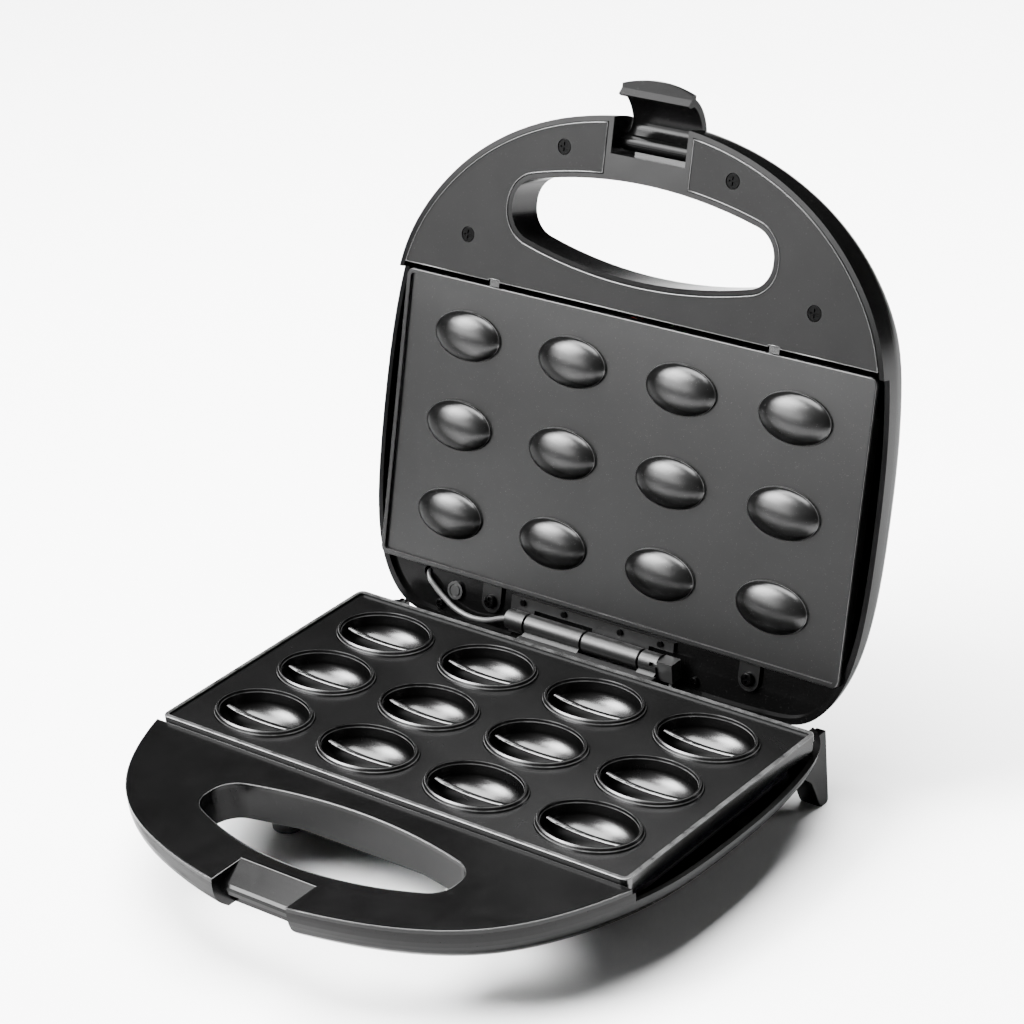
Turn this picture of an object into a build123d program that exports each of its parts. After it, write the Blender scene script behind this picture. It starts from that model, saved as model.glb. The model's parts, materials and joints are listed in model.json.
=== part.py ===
from build123d import *
import os
from math import cos, sin, radians, sqrt, pi

os.makedirs("parts", exist_ok=True)

# ---------------------------------------------------------------------------
# Electric nut cookie maker. Millimetres, +Z up, handles towards -Y, hinge at
# the rear. The rest pose is the open lid. z = 0 is the worktop. Every piece
# is drawn in one of two local frames whose x runs along the hinge, whose
# y = 0 is the front edge of the plates and whose z = 0 is the plate joint:
# BASE for what stands still, LID for what swings, drawn as if closed.
# ---------------------------------------------------------------------------
OPEN = 106.0          # lid opening angle at rest
YC = 60.90            # centres the open object on the origin
ZP = 40.0             # height of the plate joint over the worktop
AY, AZ = 127.06, 0.28  # hinge axis in both local frames

PLATE_W, PLATE_D = 218.0, 116.2
PLATE_Y = PLATE_D / 2
BEAD_W, BEAD_H = 1.8, 1.05
GAP = 0.15            # half of the gap between the closed beads
PLATE_T = 1.8
SKIRT = 5.6           # depth of the plate skirts
CAV_Y = 57.3
CAV_PX, CAV_PY = 51.0, 35.4
DOME_PY = 35.8
WALL = 2.1            # shell wall

BASE_HANDLE_TOP, COVER_T = -4.5, 2.0
BASE_RIM, BASE_HANDLE_BOT = -8.0, -17.5
LID_HANDLE_RIM, LID_RIM, LID_HANDLE_TOP = -0.8, 2.85, 15.0
BASE_SHELF, LID_SHELF = -14.0, 4.9
SHELF_T = 1.7
TUBE_R, TUBE_BORE, KNUCKLE_R = 2.5, 1.75, 4.1
FIT = 0.05            # running clearance, radial
# screws, lugs and lamps of the lid, in its own frame
LUGS = [(-53.8, 123.7), (68.7, 123.3)]
LEAD_SCREWS = [(-79.5, 131.0), (44.4, 131.0)]
LID_COVER_SCREWS = [(-38.6, -59.2), (38.6, -59.2), (-80.1, -18.2), (80.1, -18.2)]
HINGE_SCREWS = [(-38, 120.4), (-18, 120.2), (9, 120.4), (28, 120.2)]
LAMPS = [(-9, -2.4, 23.3), (9, -2.4, 23.3)]
LAMP_N = (0, -0.5886, 0.8084)   # outward, square to the lid's front slope

PAN_TOP, PAN_LOW = 12.4, -16.2   # outer faces of the upper and lower sheet pans
PIVOT = (-64.5, 7.0)           # latch axis in the lid frame, (y, z)
COVER_SCREWS = [(-40, -57.0), (40, -57.0), (-84, -22), (84, -22)]

BASE = Plane(origin=(0, -YC, ZP))
_c, _s = cos(radians(-OPEN)), sin(radians(-OPEN))


def closed_to_open(y, z):
    return (AY + (y - AY) * _c - (z - AZ) * _s, AZ + (y - AY) * _s + (z - AZ) * _c)


_o = closed_to_open(0, 0)
LID = Plane(origin=(0, _o[0] - YC, _o[1] + ZP), x_dir=(1, 0, 0), z_dir=(0, -_s, _c))


def side(plane, x=0.0):
    """Plane across the object at x, drawn in (y, z) of the local frame."""
    return Plane(origin=plane.from_local_coords((x, 0, 0)), x_dir=plane.y_dir, z_dir=plane.x_dir)


def at(plane, x, y, z):
    """Location of a point given in a local frame, axes along that frame."""
    return plane.location * Location((x, y, z))


# --- outlines, right half from the front centre to the rear centre ----------
BASE_HALF = [(14, -72.7), (41.6, -66.8), (62.3, -59.3), (79.7, -49.0), (96.1, -31.6), (108.1, -8.8),
             (115.0, 13), (117.9, 45), (117.5, 75), (114.4, 100.5), (108.9, 118.3), (98.2, 129.9), (82, 132.0),
             (28, 132.3)]
LID_HALF = [(14, -74.6), (38, -70.5), (60, -62.4), (80, -50.1), (98, -31.8), (109.6, -10.8), (114.0, 10),
            (116.1, 39), (116.3, 66), (115.2, 92), (111.2, 113), (104.6, 125.8), (95.5, 133.7), (81, 136.6),
            (28, 137.1)]


def ring(half, inset=0.0, deep=None):
    """Closed outline, shrunk by `inset` at the sides and in front and by `deep` at the rear."""
    deep = inset if deep is None else deep
    hx = max(p[0] for p in half)
    y0, y1 = min(p[1] for p in half), max(p[1] for p in half)
    yc, hy = (y0 + y1) / 2, (y1 - y0) / 2
    kx, ky = 1 - inset / hx, 1 - (inset + deep) / (2 * hy)
    right = [(x * kx, yc + (inset - deep) / 2 + (y - yc) * ky) for x, y in half]
    return right + [(-x, y) for x, y in reversed(right)]


def ring_face(half, inset=0.0, deep=None):
    with BuildLine(mode=Mode.PRIVATE) as curve:
        Spline(*ring(half, inset, deep), periodic=True)
    make_face(curve.line.edges())


def lens(w, rear, front, r_rear, r_front, fillet_r, grow=0.0):
    """Finger opening: two arcs and rounded ends, symmetric in x."""
    with BuildSketch(mode=Mode.PRIVATE) as sk:
        Rectangle(2 * w, 200)
        with Locations((0, rear - r_rear)):
            Circle(r_rear, mode=Mode.INTERSECT)
        with Locations((0, front + r_front)):
            Circle(r_front, mode=Mode.INTERSECT)
        fillet(sk.vertices(), fillet_r)
        if grow:
            offset(amount=grow, kind=Kind.ARC)
    add(sk.sketch)


def base_hole(grow=0.0):
    lens(59.3, -10.2, -52.1, 196, 128, 11.5, grow)


def lid_hole(grow=0.0):
    lens(62.1, -13.1, -53.0, 208, 211, 13.2, grow)


def base_hole_edge(grow):
    """Takes the base's finger opening out of the sketch."""
    with BuildSketch(mode=Mode.PRIVATE) as sk:
        base_hole(grow)
    add(sk.sketch, mode=Mode.SUBTRACT)


def lid_hole_edge(grow):
    """Takes the lip of the lid's finger opening out of the sketch."""
    with BuildSketch(mode=Mode.PRIVATE) as sk:
        lid_hole(grow)
    add(sk.sketch, mode=Mode.SUBTRACT)


# profiles: height in the local frame, inset; the lid's rear has its own inset
BASE_PROFILE = [(-4.5, 0.0), (-8.0, 0.15), (-12.0, 1.3), (-14.5, 3.3), (-17.5, 6.8), (-20.5, 10.8), (-25.5, 18.0),
                (-29.5, 25.5), (-32.0, 33.0)]
BASE_INNER = [(-3.0, 2.0), (-8.0, 2.2), (-12.2, 3.8), (-16.2, 8.6), (-23.0, 19.0), (-29.9, 34.0)]
LID_PROFILE = [(-0.8, 0.0, 0.0), (2.7, 0.0, 0.3), (6.2, 0.1, 1.7), (9.2, 0.4, 4.3), (12.2, 1.3, 8.8),
               (14.8, 3.0, 13.8), (18.6, 7.6, 20.5), (23.0, 15.6, 28.5), (27.0, 28.0, 38.0), (29.5, 44.0, 50.0)]
LID_INNER = [(-1.5, 2.0, 2.0), (2.4, 2.1, 2.3), (5.4, 2.2, 3.6), (8.0, 2.6, 6.0), (10.7, 3.4, 10.2), (13.2, 5.0, 15.4),
             (16.8, 9.2, 22.2), (21.0, 17.0, 30.2), (24.7, 28.6, 39.4), (27.4, 44.5, 51.0)]


def smooth(profile):
    """The profile with a point added half way along each curved span."""
    pts = []
    for i in range(len(profile) - 1):
        p0, p1, p2, p3 = profile[max(i - 1, 0)], profile[i], profile[i + 1], profile[min(i + 2, len(profile) - 1)]
        pts.append(p1)
        pts.append(tuple((9 * (p1[k] + p2[k]) - p0[k] - p3[k]) / 16 for k in range(len(p1))))
    return pts + [profile[-1]]


def hull(plane, half, profile, fine=True):
    """Solid through the outline at each height and inset of the profile."""
    sections = []
    for z, *inset in smooth(profile) if fine else profile:
        with BuildSketch(plane.offset(z), mode=Mode.PRIVATE) as section:
            ring_face(half, *inset)
        sections.append(section.sketch.faces()[0])
    loft(sections, ruled=True)


def ellipse_at(plane, z, a, b):
    with BuildSketch(plane.offset(z), mode=Mode.PRIVATE) as sk:
        Ellipse(a, b)
    return sk.sketch.faces()[0]


CAVITIES = [((i - 1.5) * CAV_PX, CAV_Y + (j - 1) * CAV_PY) for i in range(4) for j in range(3)]
DOMES = [((i - 1.5) * CAV_PX, CAV_Y + (j - 1) * DOME_PY) for i in range(4) for j in range(3)]
FLOOR = -GAP - BEAD_H          # plate floor below the joint
CREST = FLOOR + 2.2            # rim of a cavity
CEIL = GAP + 1.25              # upper plate floor above the joint

with BuildPart() as half_ball:
    Sphere(1)
    with Locations((0, 0, 1)):
        Box(4, 4, 2, mode=Mode.SUBTRACT)


# ---------------------------------------------------------------------------
# base shell
# ---------------------------------------------------------------------------
with BuildPart() as base_inside:
    hull(BASE, BASE_HALF, BASE_INNER, fine=False)
    with BuildSketch(side(BASE)):
        with BuildLine():
            Polyline((-120, BASE_HANDLE_BOT + WALL), (-12.7, BASE_HANDLE_BOT + WALL), (6.2, -30.2), (6.2, -60),
                     (-120, -60), close=True)
        make_face()
    extrude(amount=140, both=True, mode=Mode.SUBTRACT)
    # wall round the finger opening and behind the latch catch
    with BuildSketch(BASE.offset(-60)):
        base_hole(0.9)
        with Locations((0, -64)):
            Rectangle(38.6, 24)
    extrude(amount=60, mode=Mode.SUBTRACT)
    # hinge shelf
    with Locations(at(BASE, 0, 130, BASE_SHELF - SHELF_T / 2)):
        Box(190, 25.2, SHELF_T, mode=Mode.SUBTRACT)
    # screw bosses under the handle cover
    with BuildSketch(BASE.offset(-20)):
        with Locations(*COVER_SCREWS):
            Circle(4.4)
    extrude(amount=12.4, mode=Mode.SUBTRACT)
    # bosses for the front feet
    with BuildSketch(BASE.offset(-31)):
        with Locations((-60.5, 12), (60.5, 12)):
            Circle(7.0)
    extrude(amount=5, mode=Mode.SUBTRACT)
    # posts that hold the sheet pan
    with BuildSketch(BASE.offset(-31)):
        with Locations((-60.5, 12), (60.5, 12), (-34, 94), (34, 94)):
            Circle(3.5)
    extrude(amount=PAN_LOW + 31, mode=Mode.SUBTRACT)

with BuildPart() as base_cuts:
    # side and rear rim lower than the handle
    with Locations(at(BASE, 0, 101, -1.5)):
        Box(260, 200, 13.0)
    # room for the lid's rear wall
    with Locations(at(BASE, 0, 131, BASE_SHELF / 2)):
        Box(196, 27.2, -BASE_SHELF)
    # finger opening
    with BuildSketch(BASE.offset(-60)):
        base_hole(-1.25)
    extrude(amount=60)
    # catch for the latch: ramp on top, undercut behind the bar
    with BuildSketch(side(BASE)):
        with BuildLine():
            Polyline((-56.7, -2.4), (-66.9, -6.6), (-67.9, -7.4), (-68.2, -8.6), (-67.8, -10.4), (-66.6, -10.6),
                     (-64.6, -10.4), (-62.2, -11.4), (-61.6, -14.5), (-62.6, -30), (-90, -30), (-90, 0), (-56.7, 0),
                     close=True)
        make_face()
    extrude(amount=17.3, both=True)
    # bores: gland, cover screws, hinge and plate screws, feet
    with BuildSketch(Plane(origin=BASE.from_local_coords((70, 108, -22.5)), x_dir=(1, 0, 0), z_dir=(0, 1, 0))):
        Circle(6.0)
    extrude(amount=40)
    with BuildSketch(BASE.offset(-20)):
        with Locations(*COVER_SCREWS):
            Circle(3.1)
    extrude(amount=4.9)
    with BuildSketch(BASE.offset(-20)):
        with Locations(*COVER_SCREWS):
            Circle(1.6)
    extrude(amount=14)
    with BuildSketch(BASE.offset(BASE_SHELF - SHELF_T - 1.0)):
        with Locations((-18, 120.3), (27.5, 120.3), (-62, 121), (62, 121)):
            Circle(1.55)
        with Locations((39.5, 120.0)):
            Circle(2.7)
    extrude(amount=3.1)
    with BuildSketch(BASE.offset(-36)):
        with Locations((-60.5, 12), (60.5, 12)):
            Circle(1.9)
        # cooling slots in the floor
        with Locations((0, 55)):
            with GridLocations(14, 40, 7, 2):
                SlotOverall(24, 3.2, rotation=90)
    extrude(amount=10)

with BuildPart() as base_shell:
    hull(BASE, BASE_HALF, BASE_PROFILE)
    # flat underside of the handle and the slope down to the body
    with BuildSketch(side(BASE)):
        with BuildLine():
            Polyline((-120, BASE_HANDLE_BOT), (-13.5, BASE_HANDLE_BOT), (5.0, -32.0), (5.0, -60), (-120, -60),
                     close=True)
        make_face()
    extrude(amount=140, both=True, mode=Mode.SUBTRACT)
    add(base_inside.part, mode=Mode.SUBTRACT)
    # rear legs, also the feet to stand it on end
    for sx in (-1, 1):
        with BuildSketch(side(BASE, sx * 97.5)):
            with BuildLine():
                Polyline((132.2, -9.5), (132.2, -39.0), (131.2, -40.0), (127.6, -40.0), (126.6, -38.6), (122.0, -27.0),
                         (112.0, -18.0), (116.0, -9.5), close=True)
            make_face()
        extrude(amount=4.5, both=True)
    # upper end of the ramp in front of the catch
    with BuildSketch(side(BASE)):
        with BuildLine():
            Polyline((-56.75, -2.44), (-62.0, -4.6), (-62.0, -5.4), (-56.75, -5.4), close=True)
        make_face()
    extrude(amount=17.2, both=True)
    # gland boss
    with Locations(at(BASE, 70, 121.95, -22.7)):
        Box(17, 14.9, 16.4)
    add(base_cuts.part, mode=Mode.SUBTRACT)
base_shell.part.label = "base_shell"
export_step(base_shell.part, "parts/base_shell.step")

# ---------------------------------------------------------------------------
# lower plate: cast and coated, twelve cavities with a ridge
# ---------------------------------------------------------------------------
bowl_inside = scale(half_ball.part, by=(18.8, 13.0, 7.3))
bowl_outside = scale(half_ball.part, by=(20.7, 14.9, 9.2))

with BuildPart() as ridge_bar:
    with BuildSketch(Plane.XZ):
        with BuildLine():
            ThreePointArc((-18.6, -2.5), (0, -4.3), (18.6, -2.5))
            Polyline((18.6, -2.5), (18.6, -14), (-18.6, -14), (-18.6, -2.5))
        make_face()
    extrude(amount=1.25, both=True)
    fillet(ridge_bar.edges().filter_by(GeomType.CIRCLE), 0.9)

with BuildPart() as cavity_cut:
    loft([ellipse_at(Plane.XY, z, a, b) for z, a, b in
          [(1.6, 20.2, 14.4), (CREST, 19.95, 14.15), (0.6, 19.75, 13.95), (-0.7, 19.35, 13.55), (-3.7, 18.8, 13.0)]],
         ruled=True)
    with Locations((0, 0, -3.7)):
        add(bowl_inside)
    # the ridge stands in the cavity
    add(ridge_bar.part, mode=Mode.SUBTRACT)

with BuildPart() as cavity_body:
    loft([ellipse_at(Plane.XY, z, a, b) for z, a, b in
          [(-3.7, 20.7, 14.9), (FLOOR - 1.0, 21.75, 15.95), (FLOOR, 21.7, 15.9), (CREST - 0.5, 20.8, 15.0),
           (CREST, 20.3, 14.5)]], ruled=True)
    with Locations((0, 0, -3.7)):
        add(bowl_outside)

with BuildPart() as lower_plate:
    with BuildSketch(BASE.offset(FLOOR - PLATE_T)):
        with Locations((0, PLATE_Y)):
            RectangleRounded(PLATE_W, PLATE_D, 3)
    extrude(amount=PLATE_T + BEAD_H)
    fillet(lower_plate.edges().group_by(Axis(BASE.origin, BASE.z_dir))[-1], 0.45)
    with BuildSketch(BASE.offset(FLOOR)):
        with Locations((0, PLATE_Y)):
            RectangleRounded(PLATE_W - 2 * BEAD_W, PLATE_D - 2 * BEAD_W, 1.4)
    extrude(amount=4, mode=Mode.SUBTRACT, taper=-8)
    # skirt
    with BuildSketch(BASE.offset(FLOOR - PLATE_T - SKIRT + 1.8)):
        with Locations((0, PLATE_Y)):
            RectangleRounded(PLATE_W - 0.6, PLATE_D - 0.6, 2.8)
            RectangleRounded(PLATE_W - 4.4, PLATE_D - 4.4, 1.2, mode=Mode.SUBTRACT)
    extrude(amount=SKIRT - 1.8)
    # rear lugs down to the hinge shelf
    for x in (-62, 62):
        with Locations(at(BASE, x, PLATE_D - 1.3, -9.5)):
            Box(11, 2.0, 8.5)
        with Locations(at(BASE, x, 120.0, BASE_SHELF + 0.85)):
            Box(11, 9.4, 1.6)
    with Locations(*[at(BASE, x, y, 0) for x, y in CAVITIES]):
        add(cavity_body.part)
    with Locations(*[at(BASE, x, y, 0) for x, y in CAVITIES]):
        add(cavity_cut.part, mode=Mode.SUBTRACT)
    with Locations(*[at(BASE, x, 121, BASE_SHELF) for x in (-62, 62)]):
        Cylinder(1.6, 8, mode=Mode.SUBTRACT)
lower_plate.part.label = "lower_plate"
export_step(lower_plate.part, "parts/lower_plate.step")
print("lower_plate", lower_plate.part.is_valid, len(lower_plate.part.solids()), round(lower_plate.part.volume))

# ---------------------------------------------------------------------------
# upper plate: cast and coated, twelve domes, two lugs at the rear
# ---------------------------------------------------------------------------

dome_outside = scale(half_ball.part, by=(16.1, 9.85, 5.2))
dome_inside = scale(half_ball.part, by=(14.6, 8.5, 5.4))

with BuildPart() as upper_plate:
    with BuildSketch(LID.offset(GAP)):
        with Locations((0, PLATE_Y)):
            RectangleRounded(PLATE_W, PLATE_D, 3)
    extrude(amount=PLATE_T + 1.25)
    fillet(upper_plate.edges().group_by(Axis(LID.origin, LID.z_dir))[0], 0.45)
    with BuildSketch(LID.offset(CEIL)):
        with Locations((0, PLATE_Y)):
            RectangleRounded(PLATE_W - 2 * BEAD_W, PLATE_D - 2 * BEAD_W, 1.4)
    extrude(amount=-4, mode=Mode.SUBTRACT)
    with BuildSketch(LID.offset(CEIL + PLATE_T)):
        with Locations((0, PLATE_Y)):
            RectangleRounded(PLATE_W - 0.6, PLATE_D - 0.6, 2.8)
            RectangleRounded(PLATE_W - 4.4, PLATE_D - 4.4, 1.2, mode=Mode.SUBTRACT)
    extrude(amount=SKIRT - 2.4)
    # hidden corners, drawn in to clear the shell's round corners
    with BuildSketch(LID.offset(2.7)):
        with Locations((0, PLATE_Y)):
            Rectangle(PLATE_W + 4, PLATE_D + 4)
            RectangleRounded(PLATE_W, PLATE_D, 18, mode=Mode.SUBTRACT)
    extrude(amount=6, mode=Mode.SUBTRACT)
    with Locations(*[at(LID, x, y, CEIL + 0.02) for x, y in DOMES]):
        add(dome_outside)
    with Locations(*[at(LID, x, y, CEIL + PLATE_T + 0.4) for x, y in DOMES]):
        add(dome_inside, mode=Mode.SUBTRACT)
    for x, y in LUGS:
        with BuildSketch(LID.offset(LID_SHELF - 1.5)):
            with Locations((x, (y + 115.9) / 2)):
                Rectangle(9.2, y - 115.9)
            with Locations((x, y)):
                Circle(4.6)
        extrude(amount=1.45)
        with Locations(at(LID, x, y, LID_SHELF)):
            Cylinder(1.7, 8, mode=Mode.SUBTRACT)
upper_plate.part.label = "upper_plate"
export_step(upper_plate.part, "parts/upper_plate.step")
print("upper_plate", upper_plate.part.is_valid, len(upper_plate.part.solids()), round(upper_plate.part.volume))

# ---------------------------------------------------------------------------
# heaters, their clips and the sheet pans behind them
# ---------------------------------------------------------------------------
ELEMENT_R = 3.2
LOW_Z = FLOOR - PLATE_T - ELEMENT_R - 0.05
HIGH_Z = CEIL + PLATE_T + ELEMENT_R + 0.05
Y1, Y2 = CAV_Y - 17.7, CAV_Y + 17.7

with BuildPart() as lower_heating_element:
    with BuildLine(BASE.offset(LOW_Z)) as low_path:
        l1 = Line((98, Y1), (-84, Y1))
        l2 = ThreePointArc((-84, Y1), (-84 - 17.7, CAV_Y), (-84, Y2))
        l3 = Line((-84, Y2), (98, Y2))
    with BuildSketch(Plane(origin=low_path.line @ 0, z_dir=low_path.line % 0)):
        Circle(ELEMENT_R)
    sweep(path=low_path.line)
    for y in (Y1, Y2):
        with BuildSketch(Plane(origin=BASE.from_local_coords((98, y, LOW_Z)), x_dir=(0, 1, 0), z_dir=(1, 0, 0))):
            Circle(1.2)
        extrude(amount=6)
lower_heating_element.part.label = "lower_heating_element"
export_step(lower_heating_element.part, "parts/lower_heating_element.step")

with BuildPart() as upper_heating_element:
    with BuildLine(LID.offset(HIGH_Z)) as high_path:
        l1 = Line((98, Y1), (-84, Y1))
        l2 = ThreePointArc((-84, Y1), (-84 - 17.7, CAV_Y), (-84, Y2))
        l3 = Line((-84, Y2), (98, Y2))
    with BuildSketch(Plane(origin=high_path.line @ 0, z_dir=high_path.line % 0)):
        Circle(ELEMENT_R)
    sweep(path=high_path.line)
    for y in (Y1, Y2):
        with BuildSketch(Plane(origin=LID.from_local_coords((98, y, HIGH_Z)), x_dir=LID.y_dir, z_dir=(1, 0, 0))):
            Circle(1.2)
        extrude(amount=6)
upper_heating_element.part.label = "upper_heating_element"
export_step(upper_heating_element.part, "parts/upper_heating_element.step")

# spring strips that press each heater on its plate
with BuildPart() as lower_element_clips:
    for x in (-51, 0, 51):
        for y in (Y1, Y2):
            with BuildSketch(side(BASE, x)):
                with Locations((y, LOW_Z)):
                    Rectangle(2 * ELEMENT_R + 1.7, 2 * ELEMENT_R + 1.7)
                    Rectangle(2 * ELEMENT_R + 0.1, 2 * ELEMENT_R + 0.1, mode=Mode.SUBTRACT)
                with Locations((y, LOW_Z + 5)):
                    Rectangle(20, 10, mode=Mode.SUBTRACT)
            extrude(amount=2.5, both=True)
lower_element_clips.part.label = "lower_element_clips"
export_step(lower_element_clips.part, "parts/lower_element_clips.step")

with BuildPart() as upper_element_clips:
    for x in (-51, 0, 51):
        for y in (Y1, Y2):
            with BuildSketch(side(LID, x)):
                with Locations((y, HIGH_Z)):
                    Rectangle(2 * ELEMENT_R + 1.7, 2 * ELEMENT_R + 1.7)
                    Rectangle(2 * ELEMENT_R + 0.1, 2 * ELEMENT_R + 0.1, mode=Mode.SUBTRACT)
                with Locations((y, HIGH_Z - 5)):
                    Rectangle(20, 10, mode=Mode.SUBTRACT)
            extrude(amount=2.5, both=True)
upper_element_clips.part.label = "upper_element_clips"
export_step(upper_element_clips.part, "parts/upper_element_clips.step")

with BuildPart() as lower_reflector:
    with BuildSketch(BASE.offset(PAN_LOW)):
        with Locations((0, 57.5)):
            RectangleRounded(204, 104, 16)
    extrude(amount=6.6)
    with BuildSketch(BASE.offset(PAN_LOW + 0.6)):
        with Locations((0, 57.5)):
            RectangleRounded(202.8, 102.8, 15.4)
    extrude(amount=12, mode=Mode.SUBTRACT)
    with BuildSketch(BASE.offset(PAN_LOW + 6.0)):
        with Locations((0, 57.5)):
            RectangleRounded(214, 111, 18)
            RectangleRounded(202.8, 102.8, 15.4, mode=Mode.SUBTRACT)
    extrude(amount=0.6)
lower_reflector.part.label = "lower_reflector"
export_step(lower_reflector.part, "parts/lower_reflector.step")

with BuildPart() as upper_reflector:
    with BuildSketch(LID.offset(PAN_TOP)):
        with Locations((0, 57.8)):
            RectangleRounded(190, 96, 16)
    extrude(amount=-2.6)
    with BuildSketch(LID.offset(PAN_TOP - 0.6)):
        with Locations((0, 57.8)):
            RectangleRounded(188.8, 94.8, 15.4)
    extrude(amount=-6, mode=Mode.SUBTRACT)
    with BuildSketch(LID.offset(PAN_TOP - 2.6)):
        with Locations((0, 57.8)):
            RectangleRounded(196, 102, 18)
            RectangleRounded(188.8, 94.8, 15.4, mode=Mode.SUBTRACT)
    extrude(amount=0.6)
upper_reflector.part.label = "upper_reflector"
export_step(upper_reflector.part, "parts/upper_reflector.step")

# ---------------------------------------------------------------------------
# electrics inside the base
# ---------------------------------------------------------------------------
with BuildPart() as thermostat:
    with Locations(at(BASE, 0, 22, -18.7)):
        Cylinder(8.0, 5.0)
        Box(24, 7, 1.2)
    with Locations(at(BASE, 0, 22, -22.3)):
        Cylinder(6.0, 2.4)
        Box(16, 4.6, 1.0)
thermostat.part.label = "thermostat"
export_step(thermostat.part, "parts/thermostat.step")

with BuildPart() as thermal_fuse:
    with BuildSketch(Plane(origin=BASE.from_local_coords((-30, 40, -18.62)), x_dir=(0, 1, 0), z_dir=(1, 0, 0))):
        Circle(2.4)
    extrude(amount=18)
thermal_fuse.part.label = "thermal_fuse"
export_step(thermal_fuse.part, "parts/thermal_fuse.step")

with BuildPart() as terminal_block:
    with Locations(at(BASE, 62, 84, -26.4)):
        Box(30, 14, 7)
    with Locations(*[at(BASE, x, 84, -21.5) for x in (52, 62, 72)]):
        Cylinder(3.4, 3.0)
    with Locations(*[at(BASE, x, 84, -20.9) for x in (52, 62, 72)]):
        Cylinder(1.9, 4.2, mode=Mode.SUBTRACT)
terminal_block.part.label = "terminal_block"
export_step(terminal_block.part, "parts/terminal_block.step")

with BuildPart() as cord_gland:
    with BuildSketch(Plane(origin=BASE.from_local_coords((70, 114, -22.5)), x_dir=(1, 0, 0), z_dir=(0, 1, 0))):
        Circle(5.95)
    extrude(amount=15.6)
    with BuildSketch(Plane(origin=BASE.from_local_coords((70, 129.42, -22.5)), x_dir=(1, 0, 0), z_dir=(0, 1, 0))):
        Circle(7.6)
    extrude(amount=2.2)
    with BuildSketch(Plane(origin=BASE.from_local_coords((70, 112, -22.5)), x_dir=(1, 0, 0), z_dir=(0, 1, 0))):
        Circle(3.5)
    extrude(amount=30, mode=Mode.SUBTRACT)
    fillet(cord_gland.edges().filter_by(GeomType.CIRCLE).sort_by(Axis.Y)[-1], 0.8)
cord_gland.part.label = "cord_gland"
export_step(cord_gland.part, "parts/cord_gland.step")


with BuildPart() as front_feet:
    for x in (-60.5, 60.5):
        with BuildSketch(BASE.offset(-40)):
            with Locations((x, 12)):
                Circle(6.2)
        extrude(amount=7.95, taper=-3)
        with BuildSketch(BASE.offset(-33)):
            with Locations((x, 12)):
                Circle(1.85)
        extrude(amount=5.6)
    fillet(front_feet.edges().filter_by(GeomType.CIRCLE).group_by(Axis.Z)[0], 0.9)
front_feet.part.label = "front_feet"
export_step(front_feet.part, "parts/front_feet.step")

# ---------------------------------------------------------------------------
# lid shell
# ---------------------------------------------------------------------------
with BuildPart() as lid_inside:
    hull(LID, LID_HALF, LID_INNER, fine=False)
    with BuildSketch(side(LID)):
        with BuildLine():
            Polyline((-120, LID_HANDLE_TOP - WALL), (-13.0, LID_HANDLE_TOP - WALL), (8.0, 27.9), (8.0, 60),
                     (-120, 60), close=True)
        make_face()
    extrude(amount=140, both=True, mode=Mode.SUBTRACT)
    # walls round the finger opening and the latch recess
    with BuildSketch(LID.offset(-5)):
        lid_hole(0.0)
        with Locations((0, -65)):
            Rectangle(38.4, 27.0)
    extrude(amount=60, mode=Mode.SUBTRACT)
    # rear shelf, drawn closed, that carries the hinge, the plate lugs and the lead
    with Locations(at(LID, 0, 128.6, LID_SHELF + SHELF_T / 2)):
        Box(214, 22.4, SHELF_T, mode=Mode.SUBTRACT)
    # screw bosses behind the cover
    with BuildSketch(LID.offset(LID_HANDLE_RIM + COVER_T + 0.05)):
        with Locations(*LID_COVER_SCREWS):
            Circle(3.6)
    extrude(amount=20, mode=Mode.SUBTRACT)
    # posts that hold the sheet pan
    with BuildSketch(LID.offset(PAN_TOP)):
        with Locations((-42, 22), (42, 22), (-42, 70), (42, 70)):
            Circle(3.5)
    extrude(amount=20, mode=Mode.SUBTRACT)

with BuildPart() as lid_cuts:
    # side rim higher than the handle
    with Locations(at(LID, 0, 100.5, LID_RIM - 6)):
        Box(260, 201, 12.0)
    # seat of the handle cover
    with BuildSketch(LID.offset(-3)):
        ring_face(LID_HALF, 2.0)
        with Locations((0, 101)):
            Rectangle(260, 206, mode=Mode.SUBTRACT)
        with Locations((0, -64)):
            Rectangle(38.4, 25.0, mode=Mode.SUBTRACT)
        lid_hole_edge(-0.02)
    extrude(amount=3 + LID_HANDLE_RIM + COVER_T)
    # finger opening
    with BuildSketch(LID.offset(-5)):
        lid_hole(-1.9)
    extrude(amount=60)
    # latch recess, open at the front and on top, and its pin bores
    with Locations(at(LID, 0, -75.35, 5)):
        Box(34, 30, 60)
    with BuildSketch(side(LID)):
        with Locations(PIVOT):
            Circle(1.5)
    extrude(amount=18.6, both=True)
    with BuildSketch(LID.offset(LID_SHELF - 0.5)):
        with Locations(*LUGS, *LEAD_SCREWS, *HINGE_SCREWS):
            Circle(1.45)
        with Locations((-87.2, 119.8)):
            Circle(2.2)
        with Locations((-72.3, 123.9)):
            Circle(3.1)
    extrude(amount=SHELF_T + 1)
    with BuildSketch(LID.offset(LID_SHELF)):
        with Locations(*LEAD_SCREWS):
            Circle(1.4)
    extrude(amount=4.2)
    with BuildSketch(LID.offset(LID_HANDLE_RIM + COVER_T - 1)):
        with Locations(*LID_COVER_SCREWS):
            Circle(1.35)
    extrude(amount=10)
    for x, y, z in LAMPS:
        with BuildSketch(Plane(origin=LID.from_local_coords((x, y, z)), x_dir=(1, 0, 0),
                               z_dir=LID.from_local_coords(LAMP_N) - LID.origin)):
            Circle(2.6)
        extrude(amount=6, both=True)

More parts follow.
